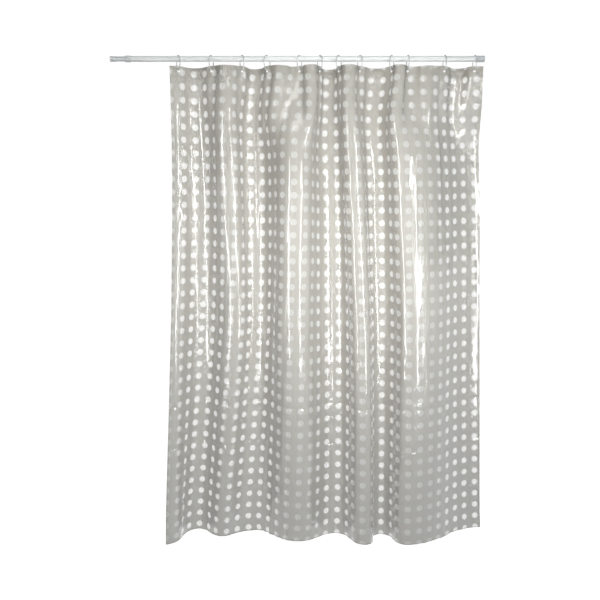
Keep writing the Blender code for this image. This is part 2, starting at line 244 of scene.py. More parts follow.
def tube(name, start, end, radius):
    """A tube between two places along the rod, with its cut edges just broken."""
    right = rounded(radius, end, TUBE_EDGE, (1, 1))
    left = rounded(radius, start, TUBE_EDGE, (1, -1))
    bore = radius - TUBE_WALL
    return turned(name, [(bore, start), *left[::-1], *right, (bore, end)])


finished(
    "outer_tube_fine",
    tube("outer_tube_fine", tube_low.x, tube_high.x, TUBE_RADIUS),
    rod_enamel,
    "rod",
    "outer_tube",
)


# The inner tube.
# The thinner half of the telescopic rod. It slides in the outer tube and shows for a few
# centimetres at the left end, between the collar and the left foot.

inner_low, inner_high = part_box("inner_tube")
inner_enamel = enamel("inner_enamel", (0.77, 0.81, 0.82), (0.70, 0.75, 0.77))

finished(
    "inner_tube_fine",
    tube("inner_tube_fine", inner_low.x, inner_high.x, (inner_high.z - inner_low.z) / 2),
    inner_enamel,
    "inner",
    "inner_tube",
)


# The lock collar.
# A moulded grip that is twisted to lock the rod at its length. Shallow ribs run along it for the
# fingers, and its two ends are rounded over.

RIB_COUNT = 24
RIB_WIDTH = 0.0011
RIB_HEIGHT = 0.0004
COLLAR_EDGE = 0.0016
COLLAR_FACE = 0.003
SLIDING_ROOM = 0.00035


def moulded(name, colour, shade, roughness):
    """Injection-moulded plastic, with a faint mottle and the fine grain of its mould."""
    plastic = Finish(name, IOR=1.48)
    where = plastic.place()
    mottle = plastic.fade(plastic.noise(where, 35.0, 3.0), 0.3, 0.7)
    plastic.set(Base_Color=plastic.mix(mottle, colour, shade))
    grain = plastic.noise(where, 700.0, 2.0)
    plastic.set(Roughness=plastic.fade(grain, 0.3, 0.7, roughness - 0.05, roughness + 0.05))
    plastic.bump(grain, 0.00004)
    return plastic.material


def node_tree(name, inputs):
    """An empty Geometry Nodes tree with named inputs, and its inputs' sockets by their names."""
    tree = bpy.data.node_groups.new(name, "GeometryNodeTree")
    for label, kind in inputs.items():
        tree.interface.new_socket(label, in_out="INPUT", socket_type="NodeSocket" + kind)
    tree.interface.new_socket("Geometry", in_out="OUTPUT", socket_type="NodeSocketGeometry")
    return tree, tree.nodes.new("NodeGroupInput").outputs


def step(tree, kind, settings=None, inputs=None, output=0):
    """Adds a node to a tree, sets it up, sets or links its sockets, and gives its output."""
    made = tree.nodes.new(kind)
    for label, value in (settings or {}).items():
        setattr(made, label, value)
    for label, value in (inputs or {}).items():
        if isinstance(value, bpy.types.NodeSocket):
            tree.links.new(value, made.inputs[label])
        else:
            made.inputs[label].default_value = value
    return made.outputs[output]


def moved(tree, shape, **inputs):
    """Shifts, turns or scales a shape in a Geometry Nodes tree."""
    return step(tree, "GeometryNodeTransform", inputs={"Geometry": shape, **inputs})


def joined(tree, *shapes):
    """Puts shapes together in a Geometry Nodes tree."""
    join = tree.nodes.new("GeometryNodeJoinGeometry")
    for shape in shapes:
        tree.links.new(shape, join.inputs[0])
    return join.outputs[0]


def complete(tree, shape, material):
    """Ends a tree: its shape becomes plain mesh in this material and goes to the output."""
    real = step(tree, "GeometryNodeRealizeInstances", inputs={0: shape})
    coated = step(tree, "GeometryNodeSetMaterial", inputs={"Geometry": real, "Material": material})
    tree.links.new(coated, tree.nodes.new("NodeGroupOutput").inputs[0])
    return tree


def grown(name, tree, values, base=None):
    """The mesh that a Geometry Nodes tree makes from these named values."""
    start = base or bpy.data.meshes.new(name)
    maker = bpy.data.objects.new(name, start)
    bpy.context.scene.collection.objects.link(maker)
    modifier = maker.modifiers.new("grown", "NODES")
    modifier.node_group = tree
    for item in tree.interface.items_tree:
        if item.in_out == "INPUT" and item.name in values:
            modifier[item.identifier] = values[item.name]
    bpy.context.view_layer.update()
    evaluated = maker.evaluated_get(bpy.context.evaluated_depsgraph_get())
    mesh = bpy.data.meshes.new_from_object(evaluated)
    maker.modifiers.clear()
    bpy.data.objects.remove(maker)
    mesh.name = name
    return mesh


def rib_tree():
    """Ribs that stand round the rod's axis, each a slim bar with rounded ends."""
    wanted = {
        "Body": "Geometry",
        "Count": "Int",
        "Radius": "Float",
        "Length": "Float",
        "Width": "Float",
        "Height": "Float",
        "Place": "Vector",
        "Material": "Material",
    }
    tree, given = node_tree("collar_ribs", wanted)
    around = {"Vertices": given["Count"], "Radius": given["Radius"]}
    circle = step(tree, "GeometryNodeMeshCircle", inputs=around)
    upright = moved(tree, circle, Translation=given["Place"], Rotation=(0, math.pi / 2, 0))
    sides = {"X": given["Length"], "Y": given["Width"], "Z": given["Height"]}
    size = step(tree, "ShaderNodeCombineXYZ", inputs=sides)
    bar = step(tree, "GeometryNodeMeshUVSphere", inputs={"Segments": 12, "Rings": 8, "Radius": 0.5})
    slim = moved(tree, bar, Scale=size)
    # Each rib's height points away from the axis, from the circle's middle to its point.
    position = step(tree, "GeometryNodeInputPosition")
    outwards = step(
        tree,
        "ShaderNodeVectorMath",
        {"operation": "SUBTRACT"},
        {0: position, 1: given["Place"]},
    )
    aimed = step(
        tree,
        "FunctionNodeAlignRotationToVector",
        {"axis": "Z", "pivot_axis": "X"},
        {"Vector": outwards},
    )
    places = {"Points": upright, "Instance": slim, "Rotation": aimed}
    spread = step(tree, "GeometryNodeInstanceOnPoints", inputs=places)
    return complete(tree, joined(tree, given["Body"], spread), given["Material"])


collar_plastic = moulded("collar_plastic", (0.78, 0.81, 0.81), (0.72, 0.755, 0.76), 0.32)
collar_low, collar_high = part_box("lock_collar")
collar_radius = (collar_high.z - collar_low.z) / 2
collar_bore = TUBE_RADIUS + SLIDING_ROOM
collar_lip = (inner_high.z - inner_low.z) / 2 + SLIDING_ROOM
collar_step = collar_low.x + COLLAR_FACE
body_radius = collar_radius - RIB_HEIGHT
collar_profile = [
    (collar_lip, collar_low.x),
    *rounded(body_radius, collar_low.x, COLLAR_EDGE, (1, -1))[::-1],
    *rounded(body_radius, collar_high.x, COLLAR_EDGE, (1, 1)),
    (collar_bore, collar_high.x),
    (collar_bore, collar_step),
    (collar_lip, collar_step),
]
collar_mesh = grown(
    "lock_collar_fine",
    rib_tree(),
    {
        "Count": RIB_COUNT,
        "Radius": body_radius,
        "Length": collar_high.x - collar_low.x - 2 * COLLAR_EDGE,
        "Width": RIB_WIDTH,
        "Height": 2 * RIB_HEIGHT,
        "Place": Vector(((collar_low.x + collar_high.x) / 2, 0, 0)),
        "Material": collar_plastic,
    },
    turned("collar_body", collar_profile),
)
finished("lock_collar_fine", collar_mesh, collar_plastic, "collar", "lock_collar")


# The feet.
# Soft rubber cups that grip the walls. The grey right one is pushed over the tube's end, and the
# white left one rides on a sprung pin. Each has a shallow bead round its mouth and a dished face.

FOOT_EDGE = 0.0009
BEAD_HEIGHT = 0.0003
FOOT_ROOM = 0.0003
FOOT_FLOOR = 0.006
CAP_FLOOR = 0.004
DISH_DEPTH = 0.0004
DISH_RIM = 0.7
DISH_FLOOR = 0.66


def rubber(name, colour, shade):
    """Matt rubber with a little bloom, darker where it has been handled."""
    soft = Finish(name, IOR=1.45)
    where = soft.place()
    bloom = soft.fade(soft.noise(where, 80.0, 4.0), 0.35, 0.65)
    soft.set(Base_Color=soft.mix(bloom, colour, shade))
    soft.set(Roughness=soft.fade(bloom, 0, 1, 0.50, 0.62))
    soft.bump(soft.noise(where, 900.0, 2.0), 0.00005)
    return soft.material


def cup_profile(mouth, wall, radius, bore, floor):
    """A foot's outline, from its open mouth to the end that presses on the wall. A foot that
    faces left is drawn the other way round, so that its outline still runs anticlockwise."""
    side = 1 if wall > mouth else -1
    bead = radius - BEAD_HEIGHT
    outside = [
        *rounded(radius, mouth + side * FOOT_EDGE * 2, FOOT_EDGE, (1, -side))[::-1],
        (bead, mouth + side * FOOT_EDGE * 4),
        *rounded(radius, wall, FOOT_EDGE, (1, side)),
    ]
    dish = wall - side * DISH_DEPTH
    face = [(radius * DISH_RIM, wall), (radius * DISH_FLOOR, dish), (0, dish)]
    inside = [(0, wall - side * floor), (bore, wall - side * floor), (bore, mouth)]
    lead = [(bead, mouth), (bead, mouth + side * FOOT_EDGE)]
    outline = inside + lead + outside + face
    return outline if side > 0 else outline[::-1]


foot_rubber = rubber("foot_rubber", (0.66, 0.70, 0.72), (0.60, 0.64, 0.66))
foot_low, foot_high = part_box("foot_right")
foot_radius = (foot_high.z - foot_low.z) / 2
foot_right = turned(
    "foot_right_fine",
    cup_profile(foot_low.x, foot_high.x, foot_radius, TUBE_RADIUS + FOOT_ROOM, FOOT_FLOOR),
)
finished("foot_right_fine", foot_right, foot_rubber, "rod", "foot_right")

cap_rubber = rubber("cap_rubber", (0.88, 0.91, 0.91), (0.85, 0.88, 0.885))
cap_low, cap_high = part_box("foot_left")
cap_radius = (cap_high.z - cap_low.z) / 2
foot_left = turned(
    "foot_left_fine",
    cup_profile(cap_high.x, cap_low.x, cap_radius, collar_lip, CAP_FLOOR),
)
finished("foot_left_fine", foot_left, cap_rubber, "plunger", "foot_left")


# The works inside the rod.
# The plug behind the right foot, the split collet under the collar, and the bush, seat, spring and pin in the
# inner tube. The moulded parts stay as they are; the steel coil is wound finer.

works_plastic = moulded("works_plastic", (0.70, 0.72, 0.73), (0.62, 0.64, 0.66), 0.42)
spring_steel = Finish("spring_steel", Metallic=1.0)
drawn = spring_steel.noise(spring_steel.place(), 240.0, 3.0, (1, 4, 4))
spring_steel.set(Base_Color=spring_steel.mix(drawn, (0.62, 0.63, 0.65), (0.42, 0.43, 0.45)))
spring_steel.set(Roughness=spring_steel.fade(drawn, 0.3, 0.7, 0.22, 0.38))
spring_steel.bump(drawn, 0.00003)

for hidden in ("end_plug", "lock_collet", "guide_bush", "spring_seat", "plunger"):
    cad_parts[hidden].data.materials.clear()
    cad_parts[hidden].data.materials.append(works_plastic)

COIL_TURNS = 6
COIL_WIRE = 0.0016


def wire_along(tree, route, radius, sides):
    """Round wire along a curve in a Geometry Nodes tree, closed at its ends."""
    circle = {"Resolution": sides, "Radius": radius}
    section = step(tree, "GeometryNodeCurvePrimitiveCircle", inputs=circle)
    strand = {"Curve": route, "Profile Curve": section, "Fill Caps": True}
    return step(tree, "GeometryNodeCurveToMesh", inputs=strand)


def coil_tree():
    """A wire wound evenly about the rod's axis, from one end of its room to the other."""
    wanted = {
        "Turns": "Float",
        "Radius": "Float",
        "Length": "Float",
        "Wire Radius": "Float",
        "Place": "Vector",
        "Material": "Material",
    }
    tree, given = node_tree("coil", wanted)
    turns = {
        "Resolution": 40,
        "Rotations": given["Turns"],
        "Start Radius": given["Radius"],
        "End Radius": given["Radius"],
        "Height": given["Length"],
    }
    winding = step(tree, "GeometryNodeCurveSpiral", inputs=turns)
    wire = wire_along(tree, winding, given["Wire Radius"], 12)
    laid = moved(tree, wire, Translation=given["Place"], Rotation=(0, math.pi / 2, 0))
    return complete(tree, laid, given["Material"])


coil_low, coil_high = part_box("tension_spring")
coil_mesh = grown(
    "coil_fine",
    coil_tree(),
    {
        "Turns": float(COIL_TURNS),
        "Radius": (coil_high.z - coil_low.z - COIL_WIRE) / 2,
        "Length": coil_high.x - coil_low.x - COIL_WIRE,
        "Wire Radius": COIL_WIRE / 2,
        "Place": Vector((coil_low.x + COIL_WIRE / 2, 0, 0)),
        "Material": spring_steel.material,
    },
)
coil = finished("coil_fine", coil_mesh, spring_steel.material, "inner", "tension_spring")
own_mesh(coil)


# The rings.
# Twelve open hoops of glassy white plastic wire. Each hangs on the tube through a hole in the
# sheet, is open at its upper back, and ends in two small balls so that it doesn't tear the film.

RING_WIRE = 0.004
RING_TIP = 0.0056
# Degrees: how far each ring, from the left, is turned from square to the rod, and where it opens.
RING_TURNS = (23, -11, 20, -22, -18, 18, -23, 14, -24, 2, 3, 1)
OPENING_FROM = 48
OPENING_SWEEP = 14


def hoop_tree():
    """An open hoop of round wire in its own plane, with a ball at each end, turned and placed."""
    wanted = {
        "Radius": "Float",
        "Wire": "Float",
        "Tip": "Float",
        "Opening From": "Float",
        "Opening": "Float",
        "Turn": "Vector",
        "Place": "Vector",
        "Material": "Material",
    }
    tree, given = node_tree("hoop", wanted)

    def worked(operation, first, second):
        return step(tree, "ShaderNodeMath", {"operation": operation}, {0: first, 1: second})

    sweep = {
        "Resolution": 72,
        "Radius": given["Radius"],
        "Start Angle": worked("ADD", given["Opening From"], given["Opening"]),
        "Sweep Angle": worked("SUBTRACT", math.tau, given["Opening"]),
    }
    arc = step(tree, "GeometryNodeCurveArc", inputs=sweep)
    strand = wire_along(tree, arc, worked("MULTIPLY", given["Wire"], 0.5), 16)
    ends = step(tree, "GeometryNodeCurveEndpointSelection", inputs={"Start Size": 1, "End Size": 1})
    round_tip = {"Segments": 20, "Rings": 12, "Radius": worked("MULTIPLY", given["Tip"], 0.5)}
    ball = step(tree, "GeometryNodeMeshUVSphere", inputs=round_tip)
    at_ends = {"Points": arc, "Selection": ends, "Instance": ball}
    tips = step(tree, "GeometryNodeInstanceOnPoints", inputs=at_ends)
    # The hoop is drawn flat, then stood up so that it faces along the rod.
    upright = moved(tree, joined(tree, strand, tips), Rotation=(math.pi / 2, 0, math.pi / 2))
    placed = moved(tree, upright, Translation=given["Place"], Rotation=given["Turn"])
    return complete(tree, placed, given["Material"])


ring_plastic = Finish("ring_plastic", IOR=1.49, Coat_Weight=0.5, Coat_Roughness=0.05)
ring_where = ring_plastic.place()
ring_cloud = ring_plastic.noise(ring_where, 55.0, 3.0)
ring_plastic.set(Base_Color=ring_plastic.mix(ring_cloud, (0.74, 0.77, 0.77), (0.60, 0.64, 0.65)))
ring_plastic.set(Roughness=ring_plastic.fade(ring_cloud, 0.3, 0.7, 0.14, 0.26))
ring_plastic.bump(ring_plastic.noise(ring_where, 300.0), 0.00006)

hoop = hoop_tree()
for number, turn in enumerate(RING_TURNS, 1):
    cad_name = f"ring_{number:02d}"
    low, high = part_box(cad_name)
    middle = (low + high) / 2
    radius = (high.z - low.z - RING_WIRE) / 2
    ring_mesh = grown(
        cad_name + "_fine",
        hoop,
        {
            "Radius": radius,
            "Wire": RING_WIRE,
            "Tip": RING_TIP,
            "Opening From": math.radians(OPENING_FROM),
            "Opening": math.radians(OPENING_SWEEP),
            "Turn": Vector((0, 0, math.radians(turn))),
            "Place": Vector((middle.x, 0, middle.z)),
            "Material": ring_plastic.material,
        },
    )
    body = "end_ring" if number == len(RING_TURNS) else cad_name
    ring = finished(cad_name + "_fine", ring_mesh, ring_plastic.material, body, cad_name)


# The sheet.
# One width of soft clear-grey vinyl film, two metres long, with clear round windows in rows. It
# hangs from twelve holes along its top edge and falls into soft folds, creased by its packing.

SHEET_WIDTH = 1.8
SHEET_LENGTH = 2.0
HEADER_HEIGHT = 0.043
EDGE_MARGIN = 0.0354
HOLE_DIAMETER = 0.011
HOLE_BELOW_EDGE = 0.0199
HOLE_PITCH = (SHEET_WIDTH - 2 * EDGE_MARGIN) / (len(RING_TURNS) - 1)
CELLS_PER_PITCH = 12
CELL_LENGTH = 0.01238
SHEET_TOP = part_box("curtain_sheet")[1].z


def middle_of(node):
    """How far along the rod a node's middle is."""
    low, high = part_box(node)
    return (low.x + high.x) / 2


RING_X = [middle_of(f"ring_{number:02d}") for number in range(1, len(RING_TURNS) + 1)]

# The folds at three depths, as shares of the drop below the header: half waves between the places
# nearest to the front and furthest from it, each (share of the width, heading at its middle in
# degrees). The two edges stand this far outside the rings' width there.
FOLD_DEPTHS = (0.2, 0.5, 1.0)
FOLDS = (
    (
        (0.066, 40),
        (0.088, -55),
        (0.080, 74),
        (0.146, -66),
        (0.131, 72),
        (0.086, -86),
        (0.087, 73),
        (0.092, -75),
        (0.224, 44),
    ),
    (
        (0.089, 58),
        (0.097, -45),
        (0.068, 70),
        (0.128, -70),
        (0.133, 57),
        (0.096, -76),
        (0.080, 81),
        (0.100, -69),
        (0.208, 46),
    ),
    (
        (0.119, 78),
        (0.075, -52),
        (0.069, 44),
        (0.149, -40),
        (0.104, 48),
        (0.101, -64),
        (0.076, 86),
        (0.089, -70),
        (0.217, 37),
    ),
)
LEFT_SPREAD = (0.002, 0.020, 0.065)
RIGHT_SPREAD = (0.034, 0.049, 0.082)
SETTLING_DROP = 0.28

# How the film gives in the simulation: its fall each round, how far a round mends a length, and
# how much of a mend down the sheet the lower point takes, since the upper one hangs from above.
SHAKE = 0.0008
SETTLING_STEP = 0.00001
LOWER_SHARE = 0.85
SHEAR_GIVE = 0.25
BEND_GIVE = 0.02
IRONING_ROUNDS = 24
LEVELLING = 0.7
LEVELLING_DROP = 0.12

# What the film keeps from its packet: ripples, streaks, creases and crinkles, each (blot width,
# blot height, depth), the patches that are creased, and the folds at these levels below the top
# and these places across.
RIPPLES = (0.045, 0.60, 0.0017)
STREAKS = (0.019, 0.26, 0.0014)
CREASES = (0.045, 0.100, 0.0012)
CRINKLES = (0.016, 0.040, 0.0009)
CREASED_PATCH = (0.22, 0.36)
PACKING_FOLDS_ACROSS = (1.40, 1.58, 1.79, 1.926)
PACKING_FOLDS_DOWN = (0.225, 0.45, 0.90, 1.35, 1.575)
PACKING_FOLD_DEPTH = 0.0016
PACKING_FOLD_WIDTH = 0.006


def path(headings, steps):
    """The plan curve that starts at the origin and runs along the headings, step by step."""
    across = np.concatenate([[0], np.cumsum(np.cos(headings) * steps)])
    away = np.concatenate([[0], np.cumsum(np.sin(headings) * steps)])
    return across, away


def span_heading(share, left, right, depth, lean):
    """The heading within one span, at a share of the way from its left ring to its right one."""
    blend = (1 - np.cos(np.pi * share)) / 2
    folds = depth * np.sin(2 * np.pi * share) + lean * np.sin(np.pi * share)
    return left * (1 - blend) + right * blend + folds


def fitted_span(number, samples=96, rounds=60, nudge=1e-5):
    """The fold's depth and lean that carry the film of one span from ring to ring."""
    left, right = (math.radians(turn) for turn in RING_TURNS[number : number + 2])
    share = (np.arange(samples) + 0.5) / samples
    wanted = np.array([(RING_X[number + 1] - RING_X[number]) / HOLE_PITCH, 0.0])

    def reach(depth, lean):
        headings = span_heading(share, left, right, depth, lean)
        return np.array([np.cos(headings).mean(), np.sin(headings).mean()])

    depth, lean = (1.0 if left >= right else -1.0), 0.0
    for _ in range(rounds):
        miss = reach(depth, lean) - wanted
        by_depth = (reach(depth + nudge, lean) - reach(depth - nudge, lean)) / (2 * nudge)
        by_lean = (reach(depth, lean + nudge) - reach(depth, lean - nudge)) / (2 * nudge)
        change = np.linalg.solve(np.column_stack([by_depth, by_lean]), miss)
        depth, lean = (depth, lean) - np.clip(change, -0.2, 0.2)
    return left, right, depth, lean


def top_headings(places):
    """The heading at each place along the sheet's top, where the folds run from ring to ring."""
    spans = [fitted_span(number) for number in range(len(RING_TURNS) - 1)]
    along = (places - EDGE_MARGIN) / HOLE_PITCH
    number = np.clip(np.floor(along).astype(int), 0, len(spans) - 1)
    left, right, depth, lean = np.array(spans)[number].T
    return span_heading(np.clip(along - number, 0, 1), left, right, depth, lean)


def wave_headings(places, share):
    """The heading at each place along the sheet where it hangs in waves, which shift evenly from
    one depth's folds to the next."""
    table = np.array(FOLDS)
    shift = np.interp(share, FOLD_DEPTHS, range(len(FOLDS)))
    upper = min(int(shift), len(FOLDS) - 2)
    widths, peaks = (table[upper] * (upper + 1 - shift) + table[upper + 1] * (shift - upper)).T
    lengths = SHEET_WIDTH * widths / widths.sum()
    headings = np.zeros_like(places)
    start = 0.0
    for length, peak in zip(lengths, np.radians(peaks)):
        within = (places >= start) & (places < start + length)
        headings[within] = peak * np.sin(np.pi * (places[within] - start) / length)
        start += length
    return headings


def smooth(share):
    """Eases a share from 0 to 1, level at both ends."""
    share = np.clip(share, 0.0, 1.0)
    return share * share * (3 - 2 * share)


def hung_rows(columns, levels, parts=4, halvings=30):
    """Points of the sheet as it is first gathered: one plan curve of the full width at each level.
    How deep its folds are is found by halving, so that its two edges stand where they should."""
    widths = np.diff(columns)
    steps = np.repeat(widths / parts, parts)
    middles = np.repeat(columns[:-1], parts) + (np.tile(np.arange(parts), len(widths)) + 0.5) * steps
    ends = np.concatenate([[0], np.cumsum(steps)])
    top = top_headings(middles)
    across, away = path(top, steps)
    top_width = across[-1]
    top_left = RING_X[0] - np.interp(EDGE_MARGIN, ends, across)
    top_back = -np.interp(EDGE_MARGIN, ends, away)
    points = np.zeros((len(levels), len(columns), 3))
    for row, level in enumerate(levels):
        below = max(level - HEADER_HEIGHT, 0.0)
        share = below / (SHEET_LENGTH - HEADER_HEIGHT)
        settled = smooth(below / SETTLING_DROP)
        headings = top * (1 - settled) + wave_headings(middles, share) * settled
        left = np.interp(share, (0, *FOLD_DEPTHS), (0, *LEFT_SPREAD))
        right = np.interp(share, (0, *FOLD_DEPTHS), (0, *RIGHT_SPREAD))
        low, high = 0.0, 2.0
        for _ in range(halvings):
            gain = (low + high) / 2 if share > 0 else 1.0
            across, away = path(headings * gain, steps)
            low, high = (gain, high) if across[-1] > top_width + left + right else (low, gain)
        points[row, :, 0] = top_left - left + across[::parts]
        points[row, :, 1] = top_back * (1 - settled) - away.mean() * settled + away[::parts]
        points[row, :, 2] = SHEET_TOP - level
    return points


def grid_faces(rows, columns, left_out=()):
    """The four-cornered faces of a grid of points, seen from the front, without some cells."""
    faces = []
    for row in range(rows - 1):
        for column in range(columns - 1):
            if (row, column) not in left_out:
                corner = row * columns + column
                faces.append((corner, corner + columns, corner + columns + 1, corner + 1))
    return faces


def film_mesh(name, points, columns, levels, left_out=()):
    """A mesh through a grid of points. Its map gives each point's place on the cut sheet, in metres
    from its top left corner."""
    mesh = bpy.data.meshes.new(name)
    rows, count = points.shape[:2]
    mesh.from_pydata(points.reshape(-1, 3).tolist(), [], grid_faces(rows, count, left_out))
    flat = np.stack(np.broadcast_arrays(columns[None, :], -levels[:, None]), -1).reshape(-1, 2)
    corners = np.zeros(len(mesh.loops), int)
    mesh.loops.foreach_get("vertex_index", corners)
    cut_map = mesh.uv_layers.new(name="cut")
    cut_map.data.foreach_set("uv", flat[corners].ravel().astype(np.float32))
    return mesh


def nearest(values, wanted):
    """Which of the grid's rows or columns is nearest to a place."""
    return int(np.argmin(abs(values - wanted)))


def pull(points, first, second, cut_length, give, share=0.5):
    """Brings pairs of points to the distance they were cut at. The share is the second one's part
    of the movement."""
    gap = points[second] - points[first]
    length = np.linalg.norm(gap, axis=-1, keepdims=True)
    change = gap * (1 - cut_length / length) * give
    points[first] += change * (1 - share)
    points[second] -= change * share


def settle(points, columns, levels, rounds=240):
    """Simulates the hanging film: its weight draws it down from the holes, while every length
    between its points stays as cut, along it, across it and on the diagonals. Film resists tight
    bends, so points four apart are kept nearly straight."""
    hung = points.copy()
    wide = np.diff(columns)[None, :, None]
    tall = np.diff(levels)[:, None, None]
    diagonal = np.hypot(wide, tall)
    reach = (columns[4:] - columns[:-4])[None, :, None]
    shake = np.random.default_rng(5).standard_normal(points.shape[:2])
    for _ in range(3):
        shake = (np.roll(shake, 1, 0) + np.roll(shake, -1, 0) + shake) / 3
    hung[..., 1] += shake * SHAKE
    row = nearest(levels, HOLE_BELOW_EDGE)
    holes = EDGE_MARGIN + np.arange(len(RING_TURNS)) * HOLE_PITCH
    held_columns = np.repeat([nearest(columns, hole) for hole in holes], 2)
    held_rows = np.tile([row, row - 1], len(holes))
    every, before, after = slice(None), slice(None, -1), slice(1, None)
    for _ in range(rounds):
        hung[..., 2] -= SETTLING_STEP
        for upper in range(len(levels) - 1):
            pull(hung, upper, upper + 1, tall[upper], 1.0, LOWER_SHARE)
        for odd in (0, 1):
            left, right = slice(odd, -1, 2), slice(odd + 1, None, 2)
            pull(hung, (every, left), (every, right), wide[:, odd::2], 1.0)
        pull(hung, (before, before), (after, after), diagonal, SHEAR_GIVE)
        pull(hung, (before, after), (after, before), diagonal, SHEAR_GIVE)
        pull(hung, (every, slice(None, -4)), (every, slice(4, None)), reach, BEND_GIVE)
        hung[held_rows, held_columns] = points[held_rows, held_columns]
    # Film is stiff along its folds, so small ripples that run across them are ironed out, and it
    # hardly gives on the slant, so a level line on it stays nearly level.
    above, ironed, below = slice(row + 2, -2), slice(row + 3, -1), slice(row + 4, None)
    plan = hung[..., :2]
    for _ in range(IRONING_ROUNDS):
        plan[ironed] += (plan[above] + plan[below] - 2 * plan[ironed]) / 4
    sag = hung[..., 2] - hung[..., 2].mean(axis=1, keepdims=True)
    hung[..., 2] -= sag * LEVELLING * smooth(levels / LEVELLING_DROP)[:, None]
    return hung


def doubled(values, axis):
    """Twice as many rows or columns, on a smooth curve through the ones there are."""
    values = np.moveaxis(values, axis, 0)
    before = np.concatenate([2 * values[:1] - values[1:2], values[:-2]])
    after = np.concatenate([values[2:], 2 * values[-1:] - values[-2:-1]])
    between = (9 * (values[:-1] + values[1:]) - before - after) / 16
    result = np.zeros((2 * len(values) - 1, *values.shape[1:]))
    result[::2] = values
    result[1::2] = between
    return np.moveaxis(result, 0, axis)


def normals_of(points):
    """The unit normal at each point of a grid, towards the front of the curtain."""
    across = np.gradient(points, axis=1)
    down = np.gradient(points, axis=0)
    facing = np.cross(down, across)
    return facing / np.linalg.norm(facing, axis=-1, keepdims=True)


def cloud(columns, levels, wide, tall, seed):
    """Smooth random values from about -1 to 1 over the cut sheet, with blots of this size."""
    result = np.zeros((len(levels), len(columns)))
    for row, level in enumerate(levels):
        waver = 0.004 * noise.noise(Vector((level / 0.07, seed, 0)))
        for column, place in enumerate(columns):
            result[row, column] = noise.noise(Vector(((place + waver) / wide, level / tall, seed)))
    return result


def crinkled(points, columns, levels):
    """Adds what a simulation this coarse can't: soft vertical ripples that waver as they run down,
    and the sharper crinkles and folds that film keeps from its packet."""
    ripple = cloud(columns, levels, *RIPPLES[:2], 3.1)
    streak = cloud(columns, levels, *STREAKS[:2], 8.4)
    patch = smooth(0.45 + 1.3 * cloud(columns, levels, *CREASED_PATCH, 15.0))
    crease = 1 - 2.4 * abs(cloud(columns, levels, *CREASES[:2], 21.7))
    fine = cloud(columns, levels, *CRINKLES[:2], 33.3)
    depth = RIPPLES[2] * ripple + STREAKS[2] * streak
    depth += patch * (CREASES[2] * crease + CRINKLES[2] * fine)
    pressed = np.zeros_like(depth)
    for level in PACKING_FOLDS_ACROSS:
        away = (levels[:, None] - level) / PACKING_FOLD_WIDTH
        pressed -= PACKING_FOLD_DEPTH * np.exp(-(away**2))
    for place in PACKING_FOLDS_DOWN:
        away = (columns[None, :] - place) / PACKING_FOLD_WIDTH
        pressed += PACKING_FOLD_DEPTH * np.exp(-(away**2))
    near_hole = np.ones_like(depth)
    for number in range(len(RING_TURNS)):
        hole = EDGE_MARGIN + number * HOLE_PITCH
        away = np.hypot(columns[None, :] - hole, levels[:, None] - HOLE_BELOW_EDGE)
        near_hole = np.minimum(near_hole, smooth(away / 0.05 - 0.2))
    return points + normals_of(points) * ((depth + pressed) * near_hole)[..., None]


margin_cells = math.ceil(EDGE_MARGIN / (HOLE_PITCH / CELLS_PER_PITCH))
cut_columns = np.concatenate(
    [
        np.linspace(0, EDGE_MARGIN, margin_cells + 1)[:-1],
        np.linspace(EDGE_MARGIN, SHEET_WIDTH - EDGE_MARGIN, (len(RING_TURNS) - 1) * CELLS_PER_PITCH + 1),
        np.linspace(SHEET_WIDTH - EDGE_MARGIN, SHEET_WIDTH, margin_cells + 1)[1:],
    ]
)
long_cells = round((SHEET_LENGTH - HOLE_BELOW_EDGE) / CELL_LENGTH)
cut_levels = np.concatenate(
    [[0, HOLE_BELOW_EDGE / 2], np.linspace(HOLE_BELOW_EDGE, SHEET_LENGTH, long_cells + 1)]
)

hung = settle(hung_rows(cut_columns, cut_levels), cut_columns, cut_levels)
fine_columns = doubled(cut_columns, 0)
fine_levels = doubled(cut_levels, 0)
film = crinkled(doubled(doubled(hung, 0), 1), fine_columns, fine_levels)

hole_row = nearest(fine_levels, HOLE_BELOW_EDGE)
hole_columns = [nearest(fine_columns, EDGE_MARGIN + number * HOLE_PITCH) for number in range(len(RING_TURNS))]


def with_holes(points):
    """The grid's points, with those round each hole brought onto its edge, and the cells inside."""
    opened = points.copy()
    inside = set()
    across, down = np.gradient(points, axis=1), np.gradient(points, axis=0)
    wide = np.gradient(fine_columns)
    tall = np.gradient(fine_levels)
    for column in hole_columns:
        for up in (-1, 0, 1):
            for right in (-1, 0, 1):
                if (up, right) == (0, 0):
                    continue
                reach = math.hypot(up, right) * 2 / HOLE_DIAMETER
                centre = points[hole_row, column]
                shift = across[hole_row, column] / wide[column] * right / reach
                shift = shift + down[hole_row, column] / tall[hole_row] * up / reach
                opened[hole_row + up, column + right] = centre + shift
        inside |= {(hole_row + up, column + right) for up in (-1, 0) for right in (-1, 0)}
    return opened, inside


DOT_PITCH_ACROSS = 0.05224
DOT_PITCH_DOWN = 0.0526
DOT_DIAMETER = 0.026
FIRST_DOT_LEFT = 0.024
FIRST_DOT_RIGHT = 0.048
FILM_GREY = (0.480, 0.468, 0.415)
FILM_SHADE = (0.425, 0.412, 0.358)
FILM_PAINTED_SLOPE_SHADE = (0.330, 0.305, 0.255)
FILM_PAINTED_LIGHT = (0.80, 0.80, 0.77)
WINDOW_GREY = (0.58, 0.575, 0.54)
WINDOW_PAINTED_LIGHT = (0.88, 0.88, 0.84)


